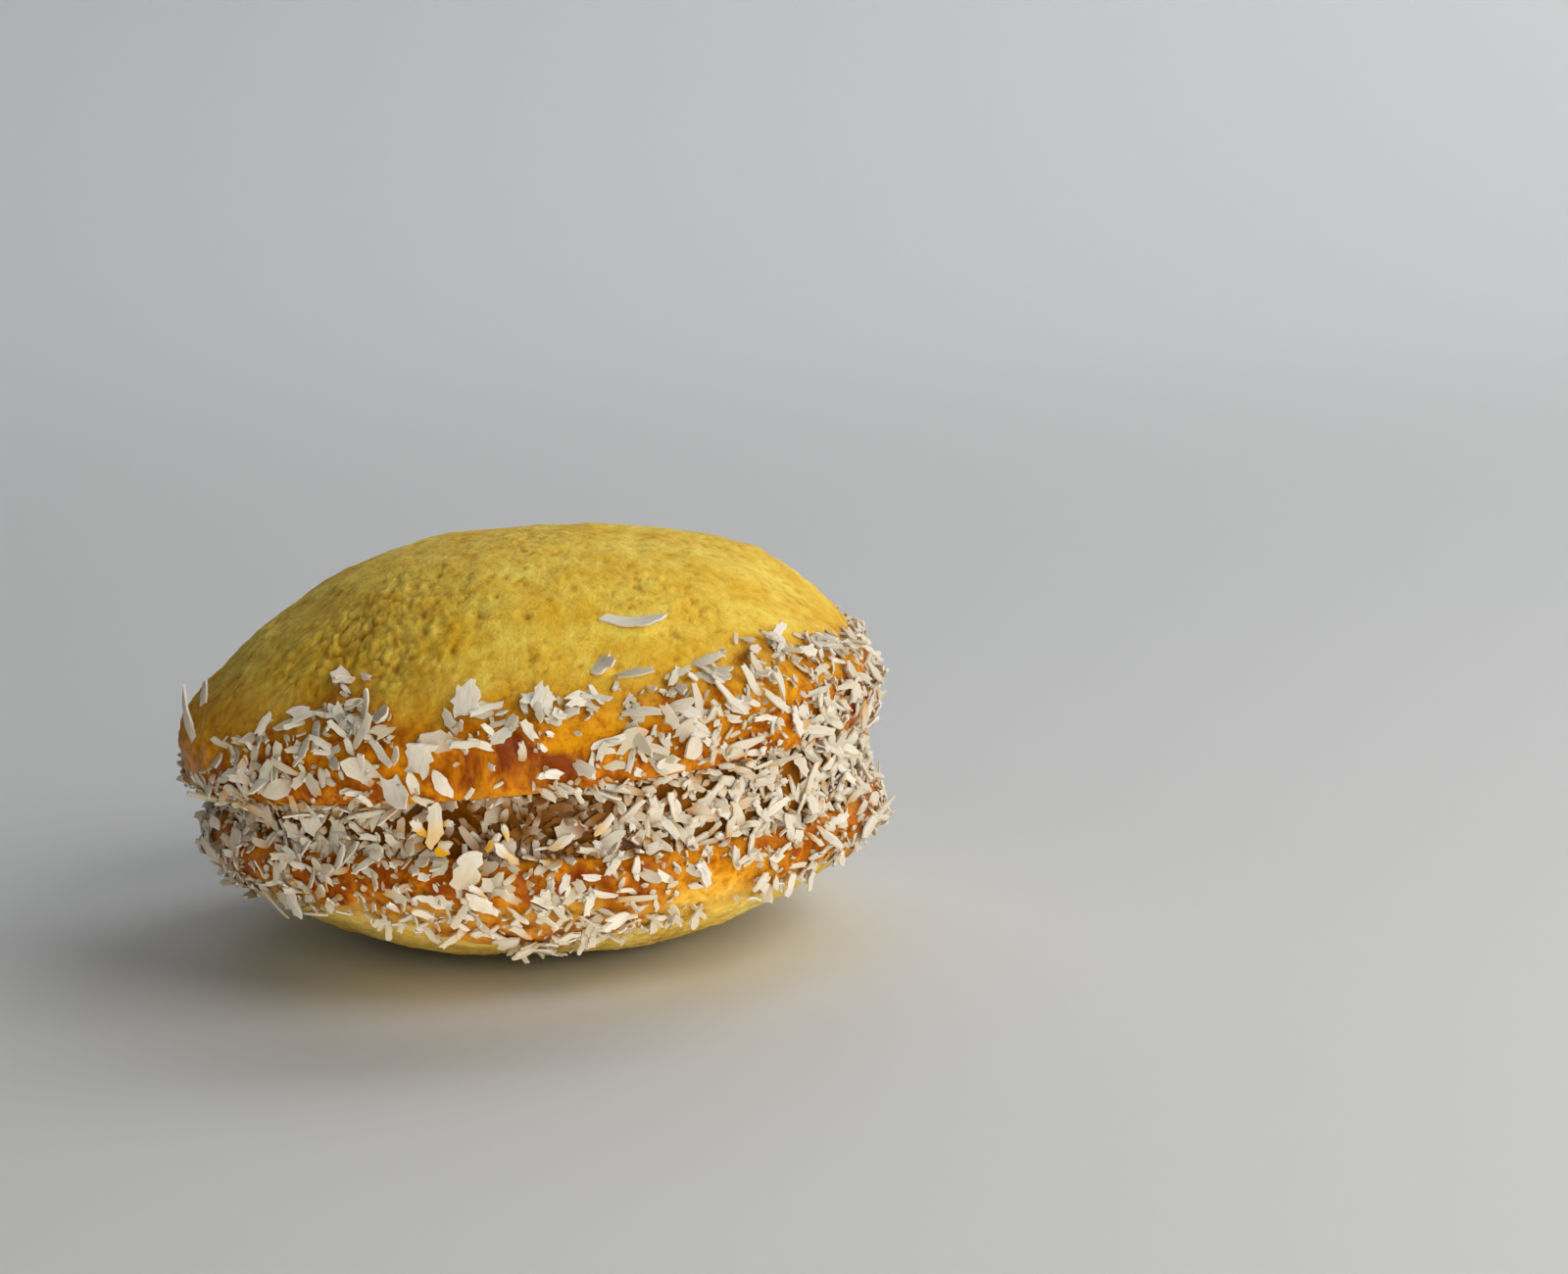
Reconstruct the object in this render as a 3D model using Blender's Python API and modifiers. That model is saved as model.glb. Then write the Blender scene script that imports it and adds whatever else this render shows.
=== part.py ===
"""An alfajor: two domed cornflour biscuits with a wedge of milk caramel between them.

Units are metres and +Z is up. The origin is the middle of the footprint, on the surface that
the alfajor rests on. Each biscuit is modelled with its flat inner face at z = 0 and its dome
up, and is then placed by its location and rotation under one parent empty. Azimuths are
measured from +X towards +Y, and the front of the alfajor faces -Y.
"""
import math

import bpy
from mathutils import Euler, Vector, noise

MM = 0.001

# Driving dimensions of the top biscuit
TOP_RADIUS = 29.8 * MM
TOP_WALL = 6.8 * MM         # straight side, from the inner face up to the dome's edge
TOP_DOME = 12.2 * MM        # rise of the dome above its edge
TOP_CORNER = 3.6 * MM       # rounding between side and dome
TOP_FULLNESS = 2.6          # exponent of the dome: 2 is a parabola, more is flatter on top
TOP_BRIM = 0.25 * MM        # shallow groove in the dome just inside its edge

# Driving dimensions of the bottom biscuit, which is a shallower bowl
BOTTOM_RADIUS = 28.9 * MM
BOTTOM_WALL = 5.0 * MM
BOTTOM_DOME = 7.7 * MM
BOTTOM_CORNER = 4.0 * MM
BOTTOM_FULLNESS = 2.9
BOTTOM_BRIM = 0.0
RESTING_FLAT = 0.3 * MM     # how much of the dome is pressed flat where it rests

# The caramel filling and how the top biscuit sits on it
FILLING_RADIUS = 27.3 * MM
FILLING_BULGE = 0.7 * MM    # how far its side swells out half way up
GAP_AT_AXIS = 3.6 * MM      # between the biscuits' inner faces, on the axis
TOP_TILT_X = math.radians(-3.5)   # raises the front
TOP_TILT_Y = math.radians(-3.5)   # raises the right
TOP_SHIFT = Vector((-1.0 * MM, 0.0, 0.0))
CLEARANCE = 0.3 * MM        # kept between pieces that touch

# Shape of the rim, shared by both biscuits
RIM_EDGE = 0.9 * MM         # rounding of the rim beside the filling
WALL_FLARE = 0.35 * MM      # how much narrower the wall is at the filling
BRIM_PLACE = 0.85           # the brim groove's place, as a share of the dome's radius
BRIM_WIDTH = 0.095          # its width, as a share of the dome's radius

# Unevenness of the baked dough: (bump height, bump spacing)
SWELLS = (0.55 * MM, 13.0 * MM)
LUMPS = (0.22 * MM, 5.0 * MM)
OUT_OF_ROUND = 0.45 * MM
FILLING_WAVES = (0.55 * MM, 9.0 * MM)
FOLD_DEPTH = 0.55 * MM      # a soft fold in the crust, left of the front
FOLD_WIDTH = 2.2 * MM
FOLD_AZIMUTH = math.radians(205.0)
FOLD_SPAN = math.radians(58.0)
FOLD_RADIUS = 19.0 * MM
SHOULDER_HEIGHT = 1.6 * MM  # a swelling of the dome at its right, towards the back
SHOULDER_SPREAD = 6.5 * MM
SHOULDER_PLACE = Vector((24.0 * MM, 4.0 * MM))

# Mesh density
SEGMENTS = 72
DOME_RINGS = 19
CORNER_RINGS = 3
WALL_RINGS = 3
FILLING_RINGS = 4


def dome_outline(radius, wall, dome, corner, fullness, brim):
    """Profile (r, z) from the top of the dome down its outside to the middle of the flat face.

    The corner is an arc that leaves the dome at the dome's own slope and meets the wall upright.
    """
    slope = math.atan(dome * fullness / radius)
    edge_radius = radius - corner * (1.0 - math.sin(slope))
    wall_top = wall - corner * math.cos(slope)
    points = []
    for ring in range(DOME_RINGS + 1):
        share = (ring / DOME_RINGS) ** 0.9
        dip = brim * math.exp(-((share - BRIM_PLACE) / BRIM_WIDTH) ** 2)
        points.append((edge_radius * share, wall + dome * (1.0 - share ** fullness) - dip))
    for ring in range(1, CORNER_RINGS + 1):
        angle = slope + (math.pi / 2 - slope) * ring / CORNER_RINGS
        points.append((radius - corner * (1.0 - math.sin(angle)), wall_top + corner * math.cos(angle)))
    for ring in range(1, WALL_RINGS + 1):
        share = ring / WALL_RINGS
        points.append((radius - WALL_FLARE * share, wall_top + (RIM_EDGE - wall_top) * share))
    for ring in range(1, CORNER_RINGS):
        angle = ring / (CORNER_RINGS - 1) * math.pi / 2
        side = radius - WALL_FLARE - RIM_EDGE
        points.append((side + RIM_EDGE * math.cos(angle), RIM_EDGE * (1.0 - math.sin(angle))))
    points.append((0.0, 0.0))
    return points


def filling_outline():
    """Profile of the caramel at unit height: z runs from 1 at the top to 0 at the bottom."""
    points = [(0.0, 1.0)]
    for ring in range(FILLING_RINGS + 1):
        height = 1.0 - ring / FILLING_RINGS
        points.append((FILLING_RADIUS + FILLING_BULGE * math.sin(math.pi * height), height))
    points.append((0.0, 0.0))
    return points


def turned(name, outline):
    """Turn a profile about Z with a Screw modifier, and return it as a plain mesh object."""
    mesh = bpy.data.meshes.new(name + "_profile")
    mesh.from_pydata([(r, 0.0, z) for r, z in outline], [(i, i + 1) for i in range(len(outline) - 1)], [])
    profile = bpy.data.objects.new(name + "_profile", mesh)
    bpy.context.scene.collection.objects.link(profile)
    screw = profile.modifiers.new("Turn", "SCREW")
    screw.axis = "Z"
    screw.steps = SEGMENTS
    screw.render_steps = SEGMENTS
    screw.use_merge_vertices = True
    screw.merge_threshold = 0.00001
    depsgraph = bpy.context.evaluated_depsgraph_get()
    solid = bpy.data.meshes.new_from_object(profile.evaluated_get(depsgraph))
    solid.name = name
    bpy.data.objects.remove(profile)
    return bpy.data.objects.new(name, solid)


def smoothstep(low, high, value):
    """Rise smoothly from 0 at low to 1 at high."""
    share = min(max((value - low) / (high - low), 0.0), 1.0)
    return share * share * (3.0 - 2.0 * share)


def waves(point, size, seed):
    """Smooth noise of the given (height, spacing) at a point; seed picks the pattern."""
    height, spacing = size
    return height * noise.noise(point / spacing + Vector((seed, 1.7 * seed, -seed)))


def shape_biscuit(biscuit, radius, wall, seed):
    """Give a turned biscuit its uneven rim and dome; the inner face stays flat."""
    mesh = biscuit.data
    normals = [vertex.normal.copy() for vertex in mesh.vertices]
    for vertex, normal in zip(mesh.vertices, normals):
        point = vertex.co.copy()
        above_face = smoothstep(0.0, wall * 0.6, point.z)
        lift = waves(point, SWELLS, seed) + waves(point, LUMPS, seed + 5)
        rim_share = point.xy.length / radius
        direction = Vector((point.x, point.y, 0.0)) / radius
        roundness = OUT_OF_ROUND * noise.noise(direction * 1.3 + Vector((seed, 0.0, 0.0)))
        vertex.co = point + normal * lift * above_face + direction * roundness * rim_share
    mesh.update()


def raise_shoulder(biscuit, wall):
    """Swell the dome at its right, towards the back."""
    for vertex in biscuit.data.vertices:
        distance = (vertex.co.xy - SHOULDER_PLACE).length / SHOULDER_SPREAD
        vertex.co.z += SHOULDER_HEIGHT * math.exp(-distance ** 2) * smoothstep(wall * 0.4, wall, vertex.co.z)


def press_fold(biscuit, wall):
    """Press a soft fold into the crust, along an arc round the dome."""
    for vertex in biscuit.data.vertices:
        if vertex.co.z < wall:
            continue
        azimuth = math.atan2(vertex.co.y, vertex.co.x) % math.tau
        along = (azimuth - FOLD_AZIMUTH) / (FOLD_SPAN / 2)
        across = (vertex.co.xy.length - FOLD_RADIUS) / FOLD_WIDTH
        vertex.co.z -= FOLD_DEPTH * math.exp(-along ** 2 * 1.5 - across ** 2)


def press_flat(biscuit, height):
    """Press everything above a height down to it, for the spot that the alfajor rests on."""
    for vertex in biscuit.data.vertices:
        vertex.co.z = min(vertex.co.z, height)


def shape_filling(filling, bottom_z, top_point, top_normal):
    """Spread the unit-height caramel between the two inner faces and make its side uneven."""
    for vertex in filling.data.vertices:
        point = vertex.co.copy()
        if point.xy.length > 0.0:
            direction = Vector((point.x, point.y, 0.0)).normalized()
            swell = waves(direction * FILLING_RADIUS + Vector((0.0, 0.0, point.z * 3 * MM)), FILLING_WAVES, 3)
            point += direction * swell
        offset = point - top_point
        ceiling = top_point.z - (top_normal.x * offset.x + top_normal.y * offset.y) / top_normal.z
        low = bottom_z + CLEARANCE
        high = ceiling - CLEARANCE
        vertex.co = (point.x, point.y, low + (high - low) * vertex.co.z)


def principled(name, colour, roughness):
    """A plain Principled material, with its linear base colour and roughness."""
    material = bpy.data.materials.new(name)
    material.use_nodes = True
    shader = material.node_tree.nodes["Principled BSDF"]
    shader.inputs["Base Color"].default_value = (*colour, 1.0)
    shader.inputs["Roughness"].default_value = roughness
    shader.inputs["Metallic"].default_value = 0.0
    return material


def centre_footprint(holder, pieces):
    """Move the holder so that the whole alfajor stands centred on the origin."""
    bpy.context.view_layer.update()
    corners = [piece.matrix_world @ vertex.co for piece in pieces for vertex in piece.data.vertices]
    low = Vector([min(corner[axis] for corner in corners) for axis in range(3)])
    high = Vector([max(corner[axis] for corner in corners) for axis in range(3)])
    holder.location -= Vector(((low.x + high.x) / 2, (low.y + high.y) / 2, low.z))
    bpy.context.view_layer.update()


def main():
    for old in list(bpy.data.objects):
        bpy.data.objects.remove(old)
    collection = bpy.data.collections.new("alfajor")
    bpy.context.scene.collection.children.link(collection)
    holder = bpy.data.objects.new("alfajor", None)
    collection.objects.link(holder)

    bottom_height = BOTTOM_WALL + BOTTOM_DOME - RESTING_FLAT
    top_location = TOP_SHIFT + Vector((0.0, 0.0, bottom_height + GAP_AT_AXIS))
    top_rotation = Euler((TOP_TILT_X, TOP_TILT_Y, 0.0))
    top_normal = top_rotation.to_matrix() @ Vector((0.0, 0.0, 1.0))

    bottom = turned("bottom_biscuit", dome_outline(BOTTOM_RADIUS, BOTTOM_WALL, BOTTOM_DOME,
                                                   BOTTOM_CORNER, BOTTOM_FULLNESS, BOTTOM_BRIM))
    shape_biscuit(bottom, BOTTOM_RADIUS, BOTTOM_WALL, seed=11)
    press_flat(bottom, bottom_height)
    bottom.location = (0.0, 0.0, bottom_height)
    bottom.rotation_euler = (math.pi, 0.0, 0.0)

    top = turned("top_biscuit", dome_outline(TOP_RADIUS, TOP_WALL, TOP_DOME,
                                             TOP_CORNER, TOP_FULLNESS, TOP_BRIM))
    raise_shoulder(top, TOP_WALL)
    press_fold(top, TOP_WALL)
    shape_biscuit(top, TOP_RADIUS, TOP_WALL, seed=4)
    top.location = top_location
    top.rotation_euler = top_rotation

    filling = turned("filling", filling_outline())
    shape_filling(filling, bottom_height, top_location, top_normal)

    pieces = {
        bottom: principled("baked_biscuit_bottom", (0.66, 0.42, 0.09), 0.75),
        top: principled("baked_biscuit_top", (0.70, 0.47, 0.11), 0.72),
        filling: principled("milk_caramel", (0.22, 0.07, 0.015), 0.35),
    }
    for piece, material in pieces.items():
        collection.objects.link(piece)
        piece.parent = holder
        piece.data.materials.append(material)
        piece.data.shade_smooth()
        piece.data.set_sharp_from_angle(angle=math.radians(40.0))
    centre_footprint(holder, list(pieces))


main()
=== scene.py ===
"""Looks of an alfajor: two domed cornflour biscuits, milk caramel between them, coconut round them.

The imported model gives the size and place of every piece. Each biscuit and the caramel is made
again as a fine mesh on its CAD solid, and the coconut is scattered over their sides.
"""
import math

import bmesh
import bpy
import numpy as np
from mathutils import Euler, Matrix, Vector, noise
from mathutils.bvhtree import BVHTree


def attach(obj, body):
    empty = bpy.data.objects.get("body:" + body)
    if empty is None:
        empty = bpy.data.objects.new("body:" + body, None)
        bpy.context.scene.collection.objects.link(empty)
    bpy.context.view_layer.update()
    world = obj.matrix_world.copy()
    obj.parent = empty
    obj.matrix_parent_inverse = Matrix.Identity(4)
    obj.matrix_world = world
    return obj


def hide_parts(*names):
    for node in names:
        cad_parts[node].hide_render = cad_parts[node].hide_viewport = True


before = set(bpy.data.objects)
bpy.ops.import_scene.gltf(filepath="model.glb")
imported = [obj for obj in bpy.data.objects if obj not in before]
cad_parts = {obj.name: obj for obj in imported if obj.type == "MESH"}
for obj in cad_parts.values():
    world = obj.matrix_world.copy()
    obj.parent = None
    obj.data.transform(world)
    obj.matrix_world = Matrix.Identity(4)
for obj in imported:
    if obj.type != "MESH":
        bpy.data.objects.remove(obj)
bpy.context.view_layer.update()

bl_info = {
    "name": "Alfajor",
    "version": (1, 0, 0),
    "blender": (4, 5, 0),
    "location": "View3D > Sidebar > Alfajor",
    "description": "Biscuits, milk caramel and coconut of an alfajor, on its packed model",
    "category": "Object",
}

MM = 0.001
BISCUITS = ("bottom_biscuit", "top_biscuit")
FILLING = "filling"
SIDE_RADIUS = 29.0          # of the alfajor's side, in mm, to turn azimuths into widths
FILLING_EDGE = 27.0 * MM    # radius at which the gap between the biscuits is measured
LONGEST_CELL = 1.0 * MM     # no cell of a side's mesh has a longer edge

# Where the caramel stays back from the edge, and over how many degrees each way
RECESS_AZIMUTH = 270
RECESS_SPREAD = 20

# The middle of the crumbly part of the dome and its reach, in mm
CRUMBLY_SPOT = (-13.0, -18.0, 29.0)
CRUMBLY_REACH = 9.0

# How far up or down the coconut reaches, from each biscuit's inner face, in mm: (level, bumps as
# (azimuth in degrees, half width in degrees, change)). Azimuths run from +X towards +Y.
COAT_LEVELS = {
    "top_biscuit": (7.6, (
        (192, 24, -7.0), (238, 8, 2.2), (253, 6, -2.2), (316, 15, 2.0), (80, 25, -1.5))),
    "bottom_biscuit": (5.6, ((273, 20, 3.6), (335, 30, -1.8), (120, 30, 1.5))),
}

# Where the coating is thin: (piece, azimuth in degrees, height from its inner face in mm, half
# width in mm, half height in mm, how bare)
BARE_PATCHES = (
    ("top_biscuit", 260, 3.0, 8.0, 2.9, 0.93),
    ("top_biscuit", 279, 4.4, 4.5, 1.5, 0.75),
    ("top_biscuit", 100, 4.2, 7.0, 2.2, 0.85),
    ("top_biscuit", 20, 3.4, 4.0, 1.8, 0.6),
    ("bottom_biscuit", 301, 3.4, 5.2, 2.3, 0.92),
    ("bottom_biscuit", 262, 6.6, 6.0, 1.5, 0.7),
    ("bottom_biscuit", 236, 5.8, 5.0, 1.2, 0.6),
    ("bottom_biscuit", 75, 3.5, 5.0, 2.0, 0.85),
    ("bottom_biscuit", 150, 4.5, 4.0, 1.8, 0.7),
    ("filling", 255, 0.0, 2.6, 9.0, 0.8),
    ("filling", 60, 0.0, 6.0, 9.0, 0.6),
)

# Where more caramel is smeared than elsewhere, or less: (piece, azimuth, height, half width, half
# height as above, change)
FILM_PATCHES = (
    ("top_biscuit", 258, 2.8, 8.5, 3.4, 1.2),
    ("top_biscuit", 195, 3.0, 9.0, 2.0, 0.7),
    ("top_biscuit", 286, 4.0, 6.0, 2.5, -0.7),
    ("bottom_biscuit", 301, 3.6, 6.5, 3.2, -1.3),
    ("bottom_biscuit", 264, 6.6, 7.0, 1.6, 0.9),
    ("bottom_biscuit", 285, 4.6, 2.0, 3.0, 0.7),
)

# Flakes that lie by themselves on the dome: (x, y, length, width in mm, heading, pitch in degrees)
DOME_FLAKES = (
    (7.9, -20.3, 5.0, 1.3, -10, 5),
    (5.8, -24.6, 2.0, 1.7, 25, 8),
    (-6.0, 16.0, 1.8, 0.7, 60, 5),
    (13.0, 16.0, 2.6, 0.9, 130, 6),
    (-15.0, 12.5, 1.4, 0.6, 15, 4),
)

# Flakes that stand out on the side: (azimuth, height above the table, length, width in mm, heading,
# pitch in degrees, lift in mm, how yolky)
SIDE_FLAKES = (
    (200, 21.0, 4.4, 1.3, 82, 14, 0.5, 0.0),
    (198, 22.8, 2.0, 0.9, 60, 20, 0.5, 0.0),
    (253, 20.9, 2.9, 2.3, 62, 12, 0.5, 0.0),
    (257, 18.8, 2.4, 1.2, 105, 18, 0.5, 0.0),
    (260, 24.7, 2.7, 2.1, 80, 24, 0.6, 0.0),
    (272, 24.8, 2.0, 1.8, 70, 30, 0.6, 0.0),
    (254, 14.4, 3.8, 1.3, 84, 24, 1.9, 0.5),
    (255, 13.2, 1.8, 1.0, 50, 30, 1.7, 1.0),
    (252, 14.6, 1.6, 0.9, 110, 34, 1.7, 0.9),
    (256, 15.6, 1.2, 0.6, 20, 30, 1.8, 0.8),
    (263, 13.4, 1.9, 0.6, 45, 30, 1.5, 0.9),
    (266, 14.2, 1.5, 0.5, 100, 28, 1.5, 0.7),
    (262, 10.0, 2.4, 0.7, 125, 20, 1.0, 0.6),
    (259, 11.2, 3.2, 2.2, 75, 20, 0.9, 0.2),
    (262, 9.4, 2.8, 1.6, 110, 20, 0.9, 0.05),
    (266, 12.4, 2.4, 0.8, 130, 24, 1.2, 0.5),
    (281, 14.6, 2.4, 0.7, 50, 30, 1.5, 0.5),
    (274, 13.6, 2.6, 0.8, 40, 30, 1.5, 0.4),
)


# Small helpers

def linear(hex_colour):
    """Linear RGBA of an sRGB colour given as '#rrggbb'."""
    values = [int(hex_colour[i:i + 2], 16) / 255 for i in (1, 3, 5)]
    return tuple(v / 12.92 if v <= 0.04045 else ((v + 0.055) / 1.055) ** 2.4 for v in values) + (1.0,)


def add(tree, kind, links=None, **settings):
    """Add a node with its settings; links gives each input a socket to link or a value."""
    node = tree.nodes.new(kind)
    for name, value in settings.items():
        setattr(node, name, value)
    for key, value in (links or {}).items():
        if isinstance(value, bpy.types.NodeSocket):
            tree.links.new(value, node.inputs[key])
        else:
            node.inputs[key].default_value = value
    return node


def new_material(name):
    """A material with an empty node tree."""
    material = bpy.data.materials.new(name)
    material.use_nodes = True
    material.node_tree.nodes.clear()
    return material


def read(tree, name, output="Fac"):
    """A mesh attribute, as a socket."""
    return add(tree, "ShaderNodeAttribute", attribute_name=name).outputs[output]


def speckle(tree, place, spacing, detail, roughness=0.5, distortion=0.0):
    """Smooth noise round 0.5, with spots about as far apart as the spacing."""
    return add(tree, "ShaderNodeTexNoise", {
        "Vector": place, "Scale": 1 / spacing, "Detail": detail, "Roughness": roughness,
        "Distortion": distortion}).outputs["Fac"]


def ramp(tree, value, low, high, start=0.0, end=1.0, **settings):
    """A value brought from the range low to high to the range start to end, and kept within it."""
    return add(tree, "ShaderNodeMapRange", {
        "Value": value, "From Min": low, "From Max": high, "To Min": start, "To Max": end},
        **settings).outputs["Result"]


def maths(tree, operation, *values, clamp=False):
    return add(tree, "ShaderNodeMath", dict(enumerate(values)), operation=operation,
               use_clamp=clamp).outputs[0]


def blend(tree, share, first, second):
    """A colour between two; each is a socket or '#rrggbb'."""
    first, second = (linear(one) if isinstance(one, str) else one for one in (first, second))
    return add(tree, "ShaderNodeMix", {"Factor": share, "A": first, "B": second},
               data_type="RGBA").outputs["Result"]


def relief(tree, height, strength, distance):
    """A normal bent by fine relief that is too small for the mesh."""
    return add(tree, "ShaderNodeBump", {"Height": height, "Strength": strength,
                                        "Distance": distance}).outputs["Normal"]


def shade(tree, colour, roughness, normal, more):
    """End a material with a Principled shader; more holds its further inputs."""
    shader = add(tree, "ShaderNodeBsdfPrincipled", {
        "Base Color": colour, "Roughness": roughness, "Normal": normal, "IOR": 1.45, **more})
    add(tree, "ShaderNodeOutputMaterial", {"Surface": shader.outputs["BSDF"]})


def smoothstep(low, high, value):
    """Rise smoothly from 0 at low to 1 at high."""
    share = np.clip((value - low) / (high - low), 0.0, 1.0)
    return share * share * (3.0 - 2.0 * share)


def sampled(points, function):
    """An array of function(Vector) over an array of points."""
    return np.array([function(Vector(p)) for p in points])


def set_attribute(mesh, name, values, domain="POINT"):
    attribute = mesh.attributes.new(name, "FLOAT", domain)
    attribute.data.foreach_set("value", np.asarray(values, np.float32))


def rows(items, name):
    """A vector property of a mesh's items, as an array with a row for each."""
    values = np.zeros(len(items) * 3, np.float32)
    items.foreach_get(name, values)
    return values.reshape(-1, 3).astype(float)


def mesh_of(shape, name):
    """Turn a bmesh into a mesh, with its holes closed and its faces pointing out."""
    holes = [edge for edge in shape.edges if edge.is_boundary]
    bmesh.ops.holes_fill(shape, edges=holes, sides=0)
    bmesh.ops.triangulate(shape, faces=[face for face in shape.faces if len(face.verts) > 4])
    bmesh.ops.recalc_face_normals(shape, faces=shape.faces)
    mesh = bpy.data.meshes.new(name)
    shape.to_mesh(mesh)
    shape.free()
    return mesh


def link(name, data):
    """Put a new object in the scene, at the origin."""
    holder = bpy.data.objects.new(name, data)
    bpy.context.scene.collection.objects.link(holder)
    return holder


def finished(name, mesh, slot, *nodes):
    """Put a finished mesh in the scene at the origin, riding on the root body."""
    piece = link(name, mesh)
    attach(piece, "root")
    if nodes:
        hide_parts(*nodes)
    return piece


# Where the pieces are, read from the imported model

def inner_face(node):
    """Frame of a biscuit: origin in the middle of its flat inner face, +Z into its dome."""
    side = 1.0 if node == "bottom_biscuit" else -1.0
    centre, normal, area = Vector(), Vector(), 0.0
    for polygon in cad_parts[node].data.polygons:
        if polygon.normal.z * side > 0.99:
            centre += polygon.center * polygon.area
            normal += polygon.normal * polygon.area
            area += polygon.area
    up = -normal.normalized()
    right = (Vector((1.0, 0.0, 0.0)) - up * up.x).normalized()
    turn = Matrix((right, up.cross(right), up)).transposed().to_4x4()
    return Matrix.Translation(centre / area) @ turn


def smooth_surface(node):
    """A search tree of a CAD node's surface, smoothed by subdivision so that no facets show."""
    shape = bmesh.new()
    shape.from_mesh(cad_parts[node].data)
    bmesh.ops.remove_doubles(shape, verts=shape.verts, dist=0.01 * MM)
    bmesh.ops.join_triangles(shape, faces=shape.faces, angle_face_threshold=math.radians(30),
                             angle_shape_threshold=math.radians(60))
    mesh = bpy.data.meshes.new(node + "_smooth")
    shape.to_mesh(mesh)
    shape.free()
    holder = link(node + "_smooth", mesh)
    subdivision = holder.modifiers.new("Smooth", "SUBSURF")
    subdivision.levels = subdivision.render_levels = 2
    depsgraph = bpy.context.evaluated_depsgraph_get()
    tree = BVHTree.FromObject(holder, depsgraph)
    bpy.data.objects.remove(holder)
    return tree


def turned_by(azimuth, degrees):
    """How far azimuths in radians are from one in degrees, from -pi to pi."""
    return (azimuth - math.radians(degrees) + math.pi) % math.tau - math.pi


def in_patch(azimuth, height, centre, middle, half_width, half_height):
    """1 inside a round-cornered patch of a side, falling to 0 outside it."""
    across = turned_by(azimuth, centre) * SIDE_RADIUS / half_width
    up = (height / MM - middle) / half_height
    return np.exp(-(across ** 2 + up ** 2) ** 1.5)


def thin_patches(piece, azimuth, height):
    """How much of the coating is left where it is thin, 0 to 1."""
    left = np.ones(len(azimuth))
    for owner, *patch, bareness in BARE_PATCHES:
        if owner == piece:
            left *= 1.0 - bareness * in_patch(azimuth, height, *patch)
    return left


def coating(node, azimuth, height):
    """How thickly coconut covers a side, 0 to 1, at azimuths and heights from the inner face."""
    ring = np.stack([np.cos(azimuth), np.sin(azimuth)], 1) * 2.6
    seed = 3.0 if node == "top_biscuit" else 17.0
    ragged = sampled(np.c_[ring, np.full(len(ring), seed)], noise.noise)
    fine = sampled(np.c_[ring * 5.0, np.full(len(ring), seed + 9)], noise.noise)
    level, bumps = COAT_LEVELS[node]
    edge = level + 0.8 * ragged + 0.9 * fine
    for centre, half_width, change in bumps:
        edge += change * np.exp(-(turned_by(azimuth, centre) / math.radians(half_width)) ** 2)
    cover = 1.0 - smoothstep(-0.9, 0.8, height / MM - edge)
    clumps = sampled(np.c_[ring * 4.2, height / (2.2 * MM) + seed], noise.noise)
    return cover * thin_patches(node, azimuth, height) * np.clip(0.78 + 0.95 * clumps, 0.22, 1.0)


# Fine meshes

def disc_grid(cells):
    """A square grid pressed into a unit disc, so that its cells stay nearly equal."""
    shape = bmesh.new()
    bmesh.ops.create_grid(shape, x_segments=cells, y_segments=cells, size=1.0)
    for vertex in shape.verts:
        a, b = vertex.co.x, vertex.co.y
        if abs(a) > abs(b):
            radius, angle = a, math.pi / 4 * b / a
        elif b != 0.0:
            radius, angle = b, math.pi / 2 - math.pi / 4 * a / b
        else:
            radius, angle = 0.0, 0.0
        vertex.co = (radius * math.cos(angle), radius * math.sin(angle), 0.0)
    return shape


def wrap_disc(shape, surface, place, heart, inner_margin):
    """Wrap a disc over a biscuit: its middle goes to the top of the dome, its edge goes round
    the rim and under it, inner_margin short of where the rim ends."""
    turn = place.to_3x3()
    origin = place @ Vector((0.0, 0.0, heart))
    to_local = place.inverted()

    def hit(angle, azimuth):
        direction = Vector((math.sin(angle) * math.cos(azimuth), math.sin(angle) * math.sin(azimuth),
                            math.cos(angle)))
        return surface.ray_cast(origin, turn @ direction)[0]

    # The biscuit's mean profile, sampled from the top of the dome to well under the rim
    angles = np.linspace(0.0, math.pi * 0.70, 160)
    profile = []
    for angle in angles:
        ring = np.linspace(0, math.tau, 16, endpoint=False)
        local = [to_local @ hit(angle, azimuth) for azimuth in ring]
        profile.append((np.mean([p.xy.length for p in local]), np.mean([p.z for p in local])))
    profile = np.array(profile)
    run = np.r_[0.0, np.cumsum(np.hypot(*np.diff(profile, axis=0).T))]
    rim = int(np.argmax(profile[:, 0]))
    under = [i for i in range(rim, len(angles)) if profile[i, 0] < profile[rim, 0] - inner_margin]
    last = run[under[0]]
    for vertex in shape.verts:
        share = min(vertex.co.xy.length, 1.0)
        azimuth = math.atan2(vertex.co.y, vertex.co.x)
        vertex.co = hit(float(np.interp(share * last, run, angles)), azimuth)


def distance(name, description, millimetres):
    return bpy.props.FloatProperty(name=name, description=description, default=millimetres * MM,
                                   subtype="DISTANCE", unit="LENGTH", precision=6)


def whole(name, description, value, least):
    return bpy.props.IntProperty(name=name, description=description, default=value, min=least)


def crowd(name, count):
    return bpy.props.FloatProperty(
        name=name, description=f"{name} to a square centimetre where the coating is full",
        default=count, min=0.0)


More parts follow.
